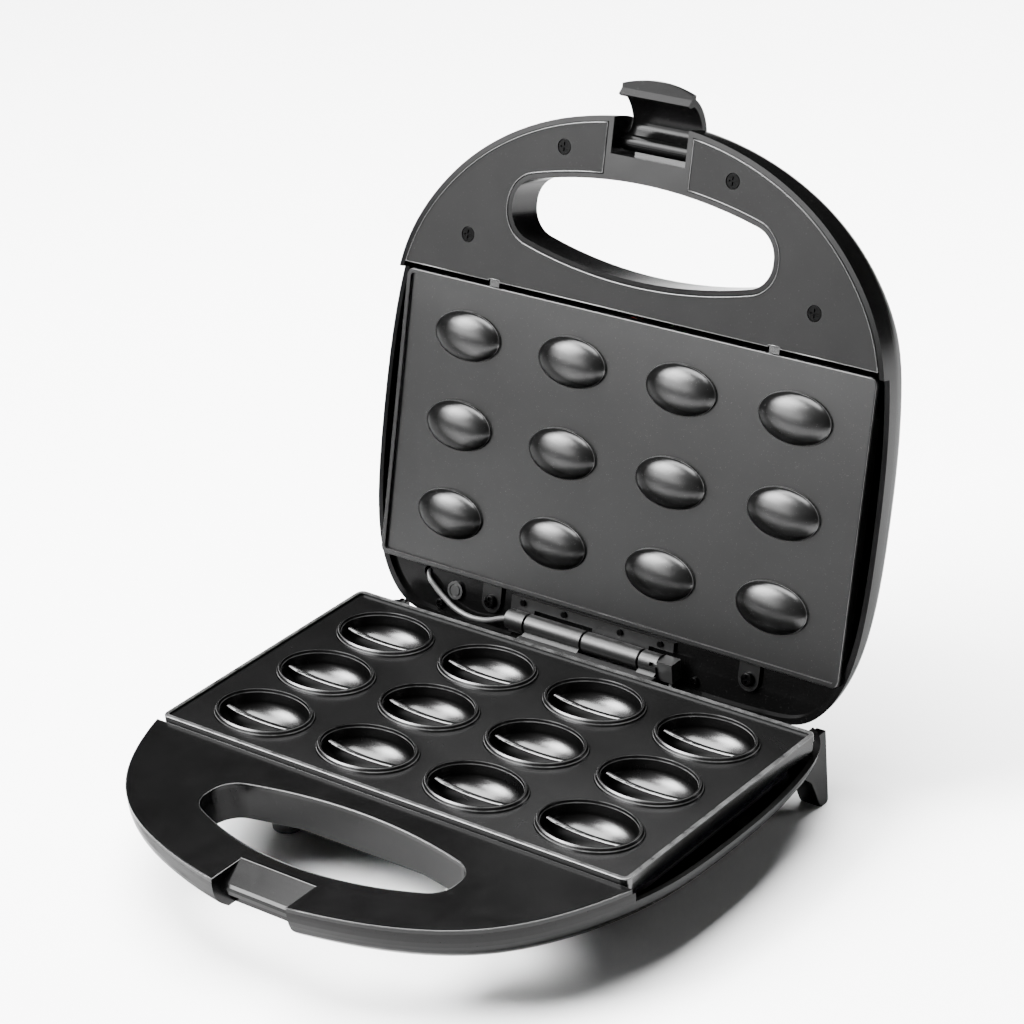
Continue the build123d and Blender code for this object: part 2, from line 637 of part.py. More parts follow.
with BuildPart() as lid_shell:
    hull(LID, LID_HALF, LID_PROFILE)
    with BuildSketch(side(LID)):
        with BuildLine():
            Polyline((-120, LID_HANDLE_TOP), (-13.8, LID_HANDLE_TOP), (6.8, 30.0), (6.8, 60), (-120, 60), close=True)
        make_face()
    extrude(amount=140, both=True, mode=Mode.SUBTRACT)
    add(lid_inside.part, mode=Mode.SUBTRACT)
    add(lid_cuts.part, mode=Mode.SUBTRACT)
lid_shell.part.label = "lid_shell"
export_step(lid_shell.part, "parts/lid_shell.step")
print("lid_shell", lid_shell.part.is_valid, len(lid_shell.part.solids()), round(lid_shell.part.volume))

# ---------------------------------------------------------------------------
# handle covers
# ---------------------------------------------------------------------------
with BuildPart() as base_handle_cover:
    with BuildSketch(BASE.offset(BASE_HANDLE_TOP)):
        ring_face(BASE_HALF, 0.05)
        with Locations((0, 100.75)):
            Rectangle(260, 202, mode=Mode.SUBTRACT)
        base_hole_edge(-1.25)
        with Locations((0, -66.8)):
            Rectangle(34.6, 20.2, mode=Mode.SUBTRACT)
    extrude(amount=COVER_T)
    # bosses for the screws from below
    with BuildSketch(BASE.offset(BASE_HANDLE_TOP)):
        with Locations(*COVER_SCREWS):
            Circle(2.9)
    extrude(amount=-3.0)
    with BuildSketch(BASE.offset(BASE_HANDLE_TOP - 4)):
        with Locations(*COVER_SCREWS):
            Circle(1.35)
    extrude(amount=4.6, mode=Mode.SUBTRACT)
    # fine bevel along the top edges
    chamfer(base_handle_cover.faces().sort_by(Axis.Z)[-1].edges().filter_by(lambda e: e.length > 15), 0.3)
base_handle_cover.part.label = "base_handle_cover"
export_step(base_handle_cover.part, "parts/base_handle_cover.step")

COVER_GAP = 0.5
with BuildPart() as lid_handle_cover:
    with BuildSketch(LID.offset(LID_HANDLE_RIM)):
        ring_face(LID_HALF, 2.0 + COVER_GAP)
        with Locations((0, 98.4)):
            Rectangle(260, 202, mode=Mode.SUBTRACT)
        lid_hole_edge(COVER_GAP)
        with Locations((0, -64)):
            Rectangle(38.4 + 2 * COVER_GAP, 26.0, mode=Mode.SUBTRACT)
    extrude(amount=COVER_T)
    with BuildSketch(LID.offset(LID_HANDLE_RIM)):
        with Locations(*LID_COVER_SCREWS):
            Circle(3.1)
    extrude(amount=0.9, mode=Mode.SUBTRACT)
    with BuildSketch(LID.offset(LID_HANDLE_RIM)):
        with Locations(*LID_COVER_SCREWS):
            Circle(1.6)
    extrude(amount=3, mode=Mode.SUBTRACT)
    # slots for the plate clips
    with Locations(at(LID, -65, -2.6, LID_HANDLE_RIM + 1), at(LID, 65, -2.6, LID_HANDLE_RIM + 1)):
        Box(5.4, 1.4, 4, mode=Mode.SUBTRACT)
lid_handle_cover.part.label = "lid_handle_cover"
export_step(lid_handle_cover.part, "parts/lid_handle_cover.step")
print("covers", len(base_handle_cover.part.solids()), len(lid_handle_cover.part.solids()))

# ---------------------------------------------------------------------------
# hinge
# ---------------------------------------------------------------------------
K1, K2, K3, K4 = (-41.4, -32.7), (-31.6, -4.9), (-3.8, 22.3), (23.4, 31.6)


def yz_box(plane, x0, x1, y0, y1, z0, z1, mode=Mode.ADD):
    with Locations(at(plane, (x0 + x1) / 2, (y0 + y1) / 2, (z0 + z1) / 2)):
        Box(x1 - x0, y1 - y0, z1 - z0, mode=mode)


with BuildPart() as base_hinge_bracket:
    yz_box(BASE, -37, 37, 117.3, 118.9, BASE_SHELF, -2.2)
    yz_box(BASE, -32.4, 32.4, 117.3, 122.0, -3.6, -2.2)
    yz_box(BASE, -37, 37, 117.3, 124.4, BASE_SHELF, BASE_SHELF + 1.4)
    for x0, x1 in (K2, K4):
        with BuildSketch(side(BASE, x0)):
            with Locations((AY, AZ)):
                Circle(KNUCKLE_R)
            with BuildLine():
                Polyline((121.4, -3.6), (121.4, -2.2), (AY, 0.2), (AY, -3.8), close=True)
            make_face()
            with Locations((AY, AZ)):
                Circle(TUBE_R, mode=Mode.SUBTRACT)
        extrude(amount=x1 - x0)
    # open slot in the end knuckle
    yz_box(BASE, 28.6, 32.4, 121.5, 125.4, 0.9, 2.6, Mode.SUBTRACT)
    with Locations(at(BASE, -18, 120.3, BASE_SHELF), at(BASE, 27.5, 120.3, BASE_SHELF)):
        Cylinder(1.35, 6, mode=Mode.SUBTRACT)
base_hinge_bracket.part.label = "base_hinge_bracket"
export_step(base_hinge_bracket.part, "parts/base_hinge_bracket.step")

with BuildPart() as lid_hinge_bracket:
    yz_box(LID, -44, 34, 118.4, 133.2, LID_SHELF - 1.4, LID_SHELF)
    for x0, x1 in (K1, K3):
        with BuildSketch(side(LID, x0)):
            with Locations((AY, AZ)):
                Circle(KNUCKLE_R)
            with BuildLine():
                Polyline((AY - 3.2, LID_SHELF), (AY - 3.2, AZ), (AY + 3.2, AZ), (AY + 3.2, LID_SHELF), close=True)
            make_face()
        extrude(amount=x1 - x0)
    # windows for the fixed knuckles
    yz_box(LID, K2[0] - 0.7, K2[1] + 0.7, 122.2, 132.0, 0, 8, Mode.SUBTRACT)
    yz_box(LID, K4[0] - 0.7, 40, 122.2, 132.0, 0, 8, Mode.SUBTRACT)
    with BuildSketch(side(LID, -50)):
        with Locations((AY, AZ)):
            Circle(TUBE_R + FIT)
    extrude(amount=90, mode=Mode.SUBTRACT)
    yz_box(LID, -42, -38.4, 121.5, 126.0, -0.8, 0.9, Mode.SUBTRACT)
    with Locations(*[at(LID, x, y, LID_SHELF) for x, y in HINGE_SCREWS]):
        Cylinder(1.3, 6, mode=Mode.SUBTRACT)
lid_hinge_bracket.part.label = "lid_hinge_bracket"
export_step(lid_hinge_bracket.part, "parts/lid_hinge_bracket.step")

with BuildPart() as hinge_tube:
    with BuildSketch(side(BASE, K1[0] - 0.3)):
        with Locations((AY, AZ)):
            Circle(TUBE_R)
            Circle(TUBE_BORE, mode=Mode.SUBTRACT)
    extrude(amount=K4[1] - K1[0] + 2.3)
hinge_tube.part.label = "hinge_tube"
export_step(hinge_tube.part, "parts/hinge_tube.step")

with BuildPart() as hinge_end_cap:
    # hood over the tube's end, open below for the lead
    yz_box(BASE, K4[1] + 0.1, 38.6, AY - 3.1, AY + 3.1, -4.4, AZ + 3.1)
    with BuildSketch(side(BASE, K4[1])):
        with Locations((AY, AZ)):
            Circle(TUBE_R)
    extrude(amount=2.4, mode=Mode.SUBTRACT)
    yz_box(BASE, K4[1] + 2.3, 37.4, AY - 1.9, AY + 1.9, -6.0, AZ + 2.1, Mode.SUBTRACT)
hinge_end_cap.part.label = "hinge_end_cap"
export_step(hinge_end_cap.part, "parts/hinge_end_cap.step")
print("hinge", len(base_hinge_bracket.part.solids()), len(lid_hinge_bracket.part.solids()))


# ---------------------------------------------------------------------------
# leads that the housings hold
# ---------------------------------------------------------------------------
def bend_radii(points):
    """Radius at each corner, as large as its two runs allow."""
    pts = [Vector(*p) for p in points]
    radii = []
    for a, b, c in zip(pts, pts[1:], pts[2:]):
        turn = radians((b - a).get_angle(c - b))
        radii.append(0.45 * min((b - a).length, (c - b).length) / max(sin(turn / 2) / cos(turn / 2), 1e-3))
    return radii


def lead(plane, points, r):
    world = [plane.from_local_coords(p) for p in points]
    with BuildLine(mode=Mode.PRIVATE) as path:
        FilletPolyline(*world, radius=bend_radii(points))
    route = path.wires()[0]
    with BuildSketch(Plane(origin=route @ 0, z_dir=route % 0), mode=Mode.PRIVATE) as section:
        Circle(r)
    tube = sweep(section.sketch, path=route)
    print("lead radii", [round(v, 1) for v in bend_radii(points)], "length", round(route.length, 1),
          "volume ratio", round(tube.volume / (pi * r * r * route.length), 3))


with BuildPart() as lid_lead:
    lead(LID, [(-86.6, 116.0, 11.0), (-87.5, 119.2, 7.4), (-87.1, 120.0, 5.0), (-84.9, 122.2, 3.2),
               (-79.5, 126.4, 3.1), (-71.3, 130.9, 2.9), (-62.7, 132.5, 2.5), (-53.7, 131.4, 1.7), (-46.8, 128.6, 0.8), (-42.0, AY, AZ), (-34.0, AY, AZ)], 1.1)
lid_lead.part.label = "lid_lead"
export_step(lid_lead.part, "parts/lid_lead.step")

with BuildPart() as base_lead:
    lead(BASE, [(33.7, AY, AZ), (35.1, AY, 0.05), (36.1, 127.0, -1.4), (36.3, 126.5, -5.4), (38.2, 123.4, -10.6),
                (39.7, 119.6, -15.5), (43.4, 112.5, -19.5), (51.6, 102.6, -24.6), (57.5, 92.2, -26.2)], 1.05)
base_lead.part.label = "base_lead"
export_step(base_lead.part, "parts/base_lead.step")

with BuildPart() as internal_leads:
    # terminals to thermostat, thermostat to fuse and back
    for pts in ([(46.4, 86, -26.4), (38, 76, -26.8), (26, 46, -26.6), (14, 27, -24.4), (9.2, 22.6, -22.7)],
                [(-9.2, 22.6, -22.7), (-17, 24, -23.4), (-27, 31, -21.6), (-33.5, 39.4, -18.7)],
                [(-11.3, 39.6, -18.7), (4, 44, -21), (24, 66, -22.2), (38, 79, -22.6), (46.4, 81.2, -25.2)]):
        lead(BASE, pts, 1.0)
internal_leads.part.label = "internal_leads"
export_step(internal_leads.part, "parts/internal_leads.step")


# ---------------------------------------------------------------------------
# fasteners
# ---------------------------------------------------------------------------
def cross_recess(r, depth, z):
    with Locations((0, 0, z)):
        Box(2 * r, 0.75, 2 * depth, mode=Mode.SUBTRACT)
        Box(0.75, 2 * r, 2 * depth, mode=Mode.SUBTRACT)


def screw_part(head_r, head_h, shank_r, shank_l, dome=0.35):
    """Cross-head screw, head from z = 0 up, shank below."""
    with BuildPart() as screw:
        Cylinder(head_r, head_h, align=(Align.CENTER, Align.CENTER, Align.MIN))
        fillet(screw.edges().group_by(Axis.Z)[-1], dome)
        Cylinder(shank_r, shank_l, align=(Align.CENTER, Align.CENTER, Align.MAX))
        cross_recess(head_r * 0.62, head_h * 0.55, head_h)
    return screw.part


def flip(plane, x, y, z):
    """Location whose own +z points down the local frame's z."""
    return plane.location * Location((x, y, z), (180, 0, 0))


flat_screw = screw_part(2.85, 0.75, 1.3, 8.6, 0.2)
pan_screw = screw_part(2.75, 1.7, 1.35, 5.0, 0.7)
small_screw = screw_part(1.95, 1.3, 1.2, 4.0, 0.6)
deep_screw = screw_part(2.8, 1.9, 1.3, 11.0, 0.4)

with BuildPart() as lid_cover_screws:
    with Locations(*[flip(LID, x, y, LID_HANDLE_RIM + 0.88) for x, y in LID_COVER_SCREWS]):
        add(flat_screw)
lid_cover_screws.part.label = "lid_cover_screws"
export_step(lid_cover_screws.part, "parts/lid_cover_screws.step")

with BuildPart() as upper_plate_screws:
    with Locations(*[flip(LID, x, y, LID_SHELF - 1.52) for x, y in LUGS]):
        add(pan_screw)
upper_plate_screws.part.label = "upper_plate_screws"
export_step(upper_plate_screws.part, "parts/upper_plate_screws.step")

with BuildPart() as lead_screws:
    with Locations(*[flip(LID, x, y, LID_SHELF - 0.02) for x, y in LEAD_SCREWS]):
        add(small_screw)
lead_screws.part.label = "lead_screws"
export_step(lead_screws.part, "parts/lead_screws.step")

with BuildPart() as lid_hinge_screws:
    with Locations(*[at(LID, x, y, LID_SHELF + SHELF_T + 0.02) for x, y in HINGE_SCREWS]):
        add(small_screw)
lid_hinge_screws.part.label = "lid_hinge_screws"
export_step(lid_hinge_screws.part, "parts/lid_hinge_screws.step")

with BuildPart() as base_hinge_screws:
    with Locations(*[flip(BASE, x, 120.3, BASE_SHELF - SHELF_T - 0.02) for x in (-18, 27.5)]):
        add(small_screw)
base_hinge_screws.part.label = "base_hinge_screws"
export_step(base_hinge_screws.part, "parts/base_hinge_screws.step")

with BuildPart() as lower_plate_screws:
    with Locations(*[at(BASE, x, 121, BASE_SHELF + 1.67) for x in (-62, 62)]):
        add(small_screw)
lower_plate_screws.part.label = "lower_plate_screws"
export_step(lower_plate_screws.part, "parts/lower_plate_screws.step")

with BuildPart() as base_cover_screws:
    with Locations(*[flip(BASE, x, y, BASE_HANDLE_BOT + 2.38) for x, y in COVER_SCREWS]):
        add(deep_screw)
base_cover_screws.part.label = "base_cover_screws"
export_step(base_cover_screws.part, "parts/base_cover_screws.step")

with BuildPart() as lead_plug:
    with BuildSketch(LID.offset(LID_SHELF - 1.3)):
        with Locations((-72.3, 123.9)):
            Circle(3.7)
    extrude(amount=1.3)
    with BuildSketch(LID.offset(LID_SHELF - 0.5)):
        with Locations((-72.3, 123.9)):
            Circle(3.0)
    extrude(amount=3.2)
    with BuildSketch(LID.offset(LID_SHELF - 1.3)):
        with Locations((-72.3, 123.9)):
            Circle(2.7)
            Circle(2.2, mode=Mode.SUBTRACT)
    extrude(amount=0.4, mode=Mode.SUBTRACT)
lead_plug.part.label = "lead_plug"
export_step(lead_plug.part, "parts/lead_plug.step")

# spring clips that hold the front edge of the upper plate
with BuildPart() as upper_plate_clips:
    for x in (-65, 65):
        with BuildSketch(side(LID, x)):
            with BuildLine():
                Polyline((-2.9, -0.55), (-0.35, -0.55), (-0.35, 6.0), (-0.95, 6.0), (-0.95, 0.05), (-2.9, 0.05), close=True)
            make_face()
        extrude(amount=2.2, both=True)
upper_plate_clips.part.label = "upper_plate_clips"
export_step(upper_plate_clips.part, "parts/upper_plate_clips.step")

# ---------------------------------------------------------------------------
# lamps, seen on the outside of the lid
# ---------------------------------------------------------------------------
for lamp_name, (x, y, z) in zip(("power_lamp_lens", "ready_lamp_lens"), LAMPS):
    lamp_plane = Plane(origin=LID.from_local_coords((x, y, z)), x_dir=(1, 0, 0),
                       z_dir=LID.from_local_coords(LAMP_N) - LID.origin)
    with BuildPart() as lens_part:
        with BuildSketch(lamp_plane.offset(-4)):
            Circle(2.55)
        extrude(amount=5.0)
        with BuildSketch(lamp_plane.offset(0.02)):
            Circle(3.4)
        extrude(amount=1.1)
        fillet(lens_part.faces().sort_by(Axis(lamp_plane.origin, lamp_plane.z_dir))[-1].edges(), 0.7)
    lens_part.part.label = lamp_name
    export_step(lens_part.part, "parts/" + lamp_name + ".step")

with BuildPart() as neon_lamps:
    for x, y, z in LAMPS:
        lamp_plane = Plane(origin=LID.from_local_coords((x, y, z)), x_dir=(1, 0, 0),
                           z_dir=LID.from_local_coords(LAMP_N) - LID.origin)
        with BuildSketch(lamp_plane.offset(-9.6)):
            Circle(2.0)
        extrude(amount=5.3)
neon_lamps.part.label = "neon_lamps"
export_step(neon_lamps.part, "parts/neon_lamps.step")

# ---------------------------------------------------------------------------
# latch, drawn swung open as it hangs on the open lid
# ---------------------------------------------------------------------------
with BuildPart() as latch:
    with BuildSketch(side(LID)):
        with BuildLine():
            Spline((-65.6, 9.9), (-68.6, 11.5), (-71.8, 12.6), (-75.2, 11.9), (-78.9, 10.1), (-82.4, 7.3), (-84.8, 4.2))
            Polyline((-84.8, 4.2), (-85.6, 2.6), (-85.2, 0.5), (-82.9, -1.3), (-82.1, 0.0), (-82.6, 2.6))
            Spline((-82.6, 2.6), (-80.6, 5.3), (-77.6, 7.7), (-74.4, 9.4), (-71.6, 9.9), (-69.0, 8.6), (-66.6, 6.0))
            Line((-66.6, 6.0), (-65.6, 9.9))
        make_face()
        with Locations(PIVOT):
            Circle(3.1)
    extrude(amount=16, both=True)
    # crowned finger tab
    with BuildSketch(LID.offset(0.5)):
        with BuildLine():
            ThreePointArc((-16, -86.9), (0, -89.6), (16, -86.9))
            Polyline((16, -86.9), (16, -83.6), (-16, -83.6), (-16, -86.9))
        make_face()
    extrude(amount=2.5)
    with BuildSketch(side(LID)):
        with Locations(PIVOT):
            Circle(1.45 + FIT)
    extrude(amount=20, both=True, mode=Mode.SUBTRACT)
latch.part.label = "latch"
export_step(latch.part, "parts/latch.step")

with BuildPart() as latch_pin:
    with BuildSketch(side(LID)):
        with Locations(PIVOT):
            Circle(1.45)
    extrude(amount=18.5, both=True)
latch_pin.part.label = "latch_pin"
export_step(latch_pin.part, "parts/latch_pin.step")
print("latch", latch.part.is_valid, len(latch.part.solids()))
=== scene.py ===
import json
import math

import bmesh
import bpy
from mathutils import Matrix, Vector


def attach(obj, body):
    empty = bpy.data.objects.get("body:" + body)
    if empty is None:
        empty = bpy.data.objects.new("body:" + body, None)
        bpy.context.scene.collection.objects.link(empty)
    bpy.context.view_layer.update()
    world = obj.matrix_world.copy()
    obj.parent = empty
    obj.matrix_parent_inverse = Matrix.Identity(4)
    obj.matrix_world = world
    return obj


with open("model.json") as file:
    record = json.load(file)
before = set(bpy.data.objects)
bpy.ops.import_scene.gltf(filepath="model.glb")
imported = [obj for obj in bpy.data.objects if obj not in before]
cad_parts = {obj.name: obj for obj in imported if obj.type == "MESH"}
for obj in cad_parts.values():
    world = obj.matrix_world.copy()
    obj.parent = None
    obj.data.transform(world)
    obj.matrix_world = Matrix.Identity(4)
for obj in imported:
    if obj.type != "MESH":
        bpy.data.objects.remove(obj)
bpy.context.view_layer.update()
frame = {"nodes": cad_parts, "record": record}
nodes = frame["nodes"]

YC, ZP, AY, AZ = 0.06090, 0.040, 0.12706, 0.00028
WORLD_DARK, WORLD_LIGHT = 0.03, 0.12


# ---------------------------------------------------------------------------
# node helpers
# ---------------------------------------------------------------------------
class Nodes:
    """Small builder for one material's node tree."""

    def __init__(self, name):
        self.mat = bpy.data.materials.new(name)
        self.mat.use_nodes = True
        self.tree = self.mat.node_tree
        self.tree.nodes.clear()
        self.out = self.tree.nodes.new("ShaderNodeOutputMaterial")
        self.bsdf = self.tree.nodes.new("ShaderNodeBsdfPrincipled")
        self.tree.links.new(self.bsdf.outputs[0], self.out.inputs[0])
        self.coord = self.tree.nodes.new("ShaderNodeTexCoord").outputs["Object"]

    def link(self, a, b):
        self.tree.links.new(a, b)

    def put(self, socket, value):
        if isinstance(value, bpy.types.NodeSocket):
            self.link(value, socket)
        else:
            socket.default_value = value

    def noise(self, scale, detail=3.0, rough=0.5, distortion=0.0, vector=None):
        n = self.tree.nodes.new("ShaderNodeTexNoise")
        self.link(vector or self.coord, n.inputs["Vector"])
        n.inputs["Scale"].default_value = scale
        n.inputs["Detail"].default_value = detail
        n.inputs["Roughness"].default_value = rough
        n.inputs["Distortion"].default_value = distortion
        return n.outputs["Fac"]

    def voronoi(self, scale, feature="F1", vector=None, randomness=1.0):
        n = self.tree.nodes.new("ShaderNodeTexVoronoi")
        n.feature = feature
        self.link(vector or self.coord, n.inputs["Vector"])
        n.inputs["Scale"].default_value = scale
        n.inputs["Randomness"].default_value = randomness
        return n.outputs["Distance"]

    def stretch(self, sx, sy, sz, rot=(0, 0, 0)):
        n = self.tree.nodes.new("ShaderNodeMapping")
        self.link(self.coord, n.inputs["Vector"])
        n.inputs["Scale"].default_value = (sx, sy, sz)
        n.inputs["Rotation"].default_value = rot
        return n.outputs["Vector"]

    def ramp(self, fac, stops):
        n = self.tree.nodes.new("ShaderNodeValToRGB")
        self.link(fac, n.inputs["Fac"])
        cr = n.color_ramp
        while len(cr.elements) > 1:
            cr.elements.remove(cr.elements[-1])
        cr.elements[0].position = stops[0][0]
        cr.elements[0].color = colour(stops[0][1])
        for p, v in stops[1:]:
            e = cr.elements.new(p)
            e.color = colour(v)
        return n.outputs["Color"]

    def span(self, fac, lo, hi, a, b):
        """Linear map of fac from lo..hi to a..b, clamped."""
        n = self.tree.nodes.new("ShaderNodeMapRange")
        self.link(fac, n.inputs["Value"])
        n.inputs["From Min"].default_value = lo
        n.inputs["From Max"].default_value = hi
        n.inputs["To Min"].default_value = a
        n.inputs["To Max"].default_value = b
        return n.outputs["Result"]

    def math(self, op, a, b=0.0):
        n = self.tree.nodes.new("ShaderNodeMath")
        n.operation = op
        self.put(n.inputs[0], a)
        self.put(n.inputs[1], b)
        return n.outputs[0]

    def mix(self, fac, a, b):
        n = self.tree.nodes.new("ShaderNodeMix")
        n.data_type = "RGBA"
        self.put(n.inputs["Factor"], fac)
        self.put([s for s in n.inputs if s.name == "A" and s.type == "RGBA"][0], a)
        self.put([s for s in n.inputs if s.name == "B" and s.type == "RGBA"][0], b)
        return [s for s in n.outputs if s.type == "RGBA"][0]

    def bump(self, height, distance, strength=1.0, normal=None):
        n = self.tree.nodes.new("ShaderNodeBump")
        self.link(height, n.inputs["Height"])
        n.inputs["Distance"].default_value = distance
        n.inputs["Strength"].default_value = strength
        if normal is not None:
            self.link(normal, n.inputs["Normal"])
        return n.outputs["Normal"]

    def height(self, normal, offset):
        """Distance in metres along a fixed direction of the part, such as height over the plate joint."""
        n = self.tree.nodes.new("ShaderNodeVectorMath")
        n.operation = "DOT_PRODUCT"
        self.link(self.coord, n.inputs[0])
        n.inputs[1].default_value = normal
        return self.math("ADD", n.outputs["Value"], offset)

    def gloss(self, square, edge, start, end):
        """Specular level that falls from `square` to `edge` as the surface turns away."""
        n = self.tree.nodes.new("ShaderNodeLayerWeight")
        n.inputs["Blend"].default_value = 0.5
        return self.span(n.outputs["Facing"], start, end, square, edge)

    def band(self, height, lo, hi, soft):
        """1 where the height is between lo and hi, 0 outside, with soft ends."""
        return self.math("MULTIPLY", self.span(height, lo - soft, lo, 0.0, 1.0), self.span(height, hi, hi + soft, 1.0, 0.0))

    def set(self, **sockets):
        for key, value in sockets.items():
            self.put(self.bsdf.inputs[key.replace("_", " ")], value)


def colour(v):
    return (v, v, v, 1.0) if isinstance(v, (int, float)) else (*v, 1.0)


def moulded(name, dark, light, rough, grain=0.0, grain_scale=2600, ripple=0.0, coat=0.0, spec=0.5, dust=0.0, fall=None):
    """Injection-moulded plastic: faint cloudiness, a moulded grain, slow flow ripple, a little dust."""
    m = Nodes(name)
    cloud = m.noise(38, 4, 0.55)
    base = m.ramp(cloud, [(0.32, dark), (0.68, light)])
    speck = m.noise(1500, 2, 0.6)
    if dust:
        base = m.mix(m.span(speck, 0.66, 0.74, 0.0, dust), base, (0.32, 0.32, 0.32, 1))
    lo, hi = rough
    smear = m.noise(70, 5, 0.62, 0.6)
    m.set(Base_Color=base, Roughness=m.span(smear, 0.3, 0.7, lo, hi), Metallic=0.0,
          Specular_IOR_Level=m.gloss(spec, *fall) if fall else spec)
    normal = None
    if ripple:
        normal = m.bump(m.noise(30, 2, 0.4), ripple, 1.0)
    if grain:
        normal = m.bump(m.noise(grain_scale, 3, 0.65), grain, 1.0, normal)
    if normal is not None:
        m.set(Normal=normal)
    if coat:
        m.set(Coat_Weight=coat, Coat_Roughness=0.08)
    return m.mat


def coated(name, dark, light, rough, speck, grain, spec=0.5, joint=None, highlight_bands=(), highlight_tone=0.05, fall=None):
    """Sprayed non-stick coating on cast metal: orange peel, fine bright specks, and painted highlight lines in a
    lighter colour where the height over the plate joint falls in the given bands.
    """
    m = Nodes(name)
    cloud = m.noise(26, 5, 0.6)
    base = m.ramp(cloud, [(0.3, dark), (0.7, light)])
    dots = m.voronoi(1500)
    pick = m.noise(900, 1, 0.5)
    flecks = m.math("MULTIPLY", m.span(dots, 0.10, 0.24, 1.0, 0.0), m.span(pick, 0.52, 0.66, 0.0, speck))
    base = m.mix(flecks, base, (0.34, 0.34, 0.34, 1))
    # painted highlight: inside each height band the colour is mixed towards a lighter tone, drawing bright lines that
    # stand in for light caught on bead crests and ring edges
    for lo, hi, soft, amount in highlight_bands:
        edge = m.math("MULTIPLY", m.band(m.height(*joint), lo, hi, soft), m.span(m.noise(160, 4, 0.6), 0.36, 0.6, 0.35 * amount, amount))
        base = m.mix(edge, base, (highlight_tone, highlight_tone, highlight_tone, 1))
    lo, hi = rough
    wear = m.noise(55, 6, 0.65, 0.4)
    m.set(Base_Color=base, Roughness=m.span(wear, 0.3, 0.72, lo, hi), Metallic=0.0,
          Specular_IOR_Level=m.gloss(spec, *fall) if fall else spec)
    peel = m.bump(m.noise(520, 2, 0.5), grain * 1.6, 1.0)
    fine = m.bump(m.noise(2400, 3, 0.6), grain, 1.0, peel)
    m.set(Normal=fine)
    return m.mat


def metal(name, dark, light, rough, stretch=(60, 60, 60), grain=0.00002, tint=(1.0, 1.0, 1.0), stain=0.0):
    """Drawn or rolled metal: streaks along one way, raised as a fine bump, and stain."""
    m = Nodes(name)
    streak = m.noise(34, 5, 0.6, 0.0, m.stretch(*stretch))
    a = tuple(dark * t for t in tint)
    b = tuple(light * t for t in tint)
    base = m.ramp(streak, [(0.3, a), (0.7, b)])
    if stain:
        base = m.mix(m.span(m.noise(45, 5, 0.6, 0.7), 0.52, 0.66, 0.0, stain), base, (0.10, 0.085, 0.07, 1))
    lo, hi = rough
    m.set(Base_Color=base, Roughness=m.span(m.noise(90, 4, 0.6), 0.3, 0.7, lo, hi), Metallic=1.0)
    m.set(Normal=m.bump(streak, grain, 1.0))
    return m.mat


def lens_material(name, dark, light, glow):
    m = Nodes(name)
    cloud = m.noise(400, 3, 0.5)
    m.set(Base_Color=m.ramp(cloud, [(0.3, dark), (0.7, light)]), Metallic=0.0,
          Roughness=m.span(m.noise(900, 3, 0.6), 0.3, 0.7, 0.10, 0.2), Transmission_Weight=0.35, IOR=1.49,
          Coat_Weight=0.5, Coat_Roughness=0.05)
    rings = m.noise(1500, 2, 0.5)
    m.set(Normal=m.bump(rings, 0.00003, 1.0))
    return m.mat


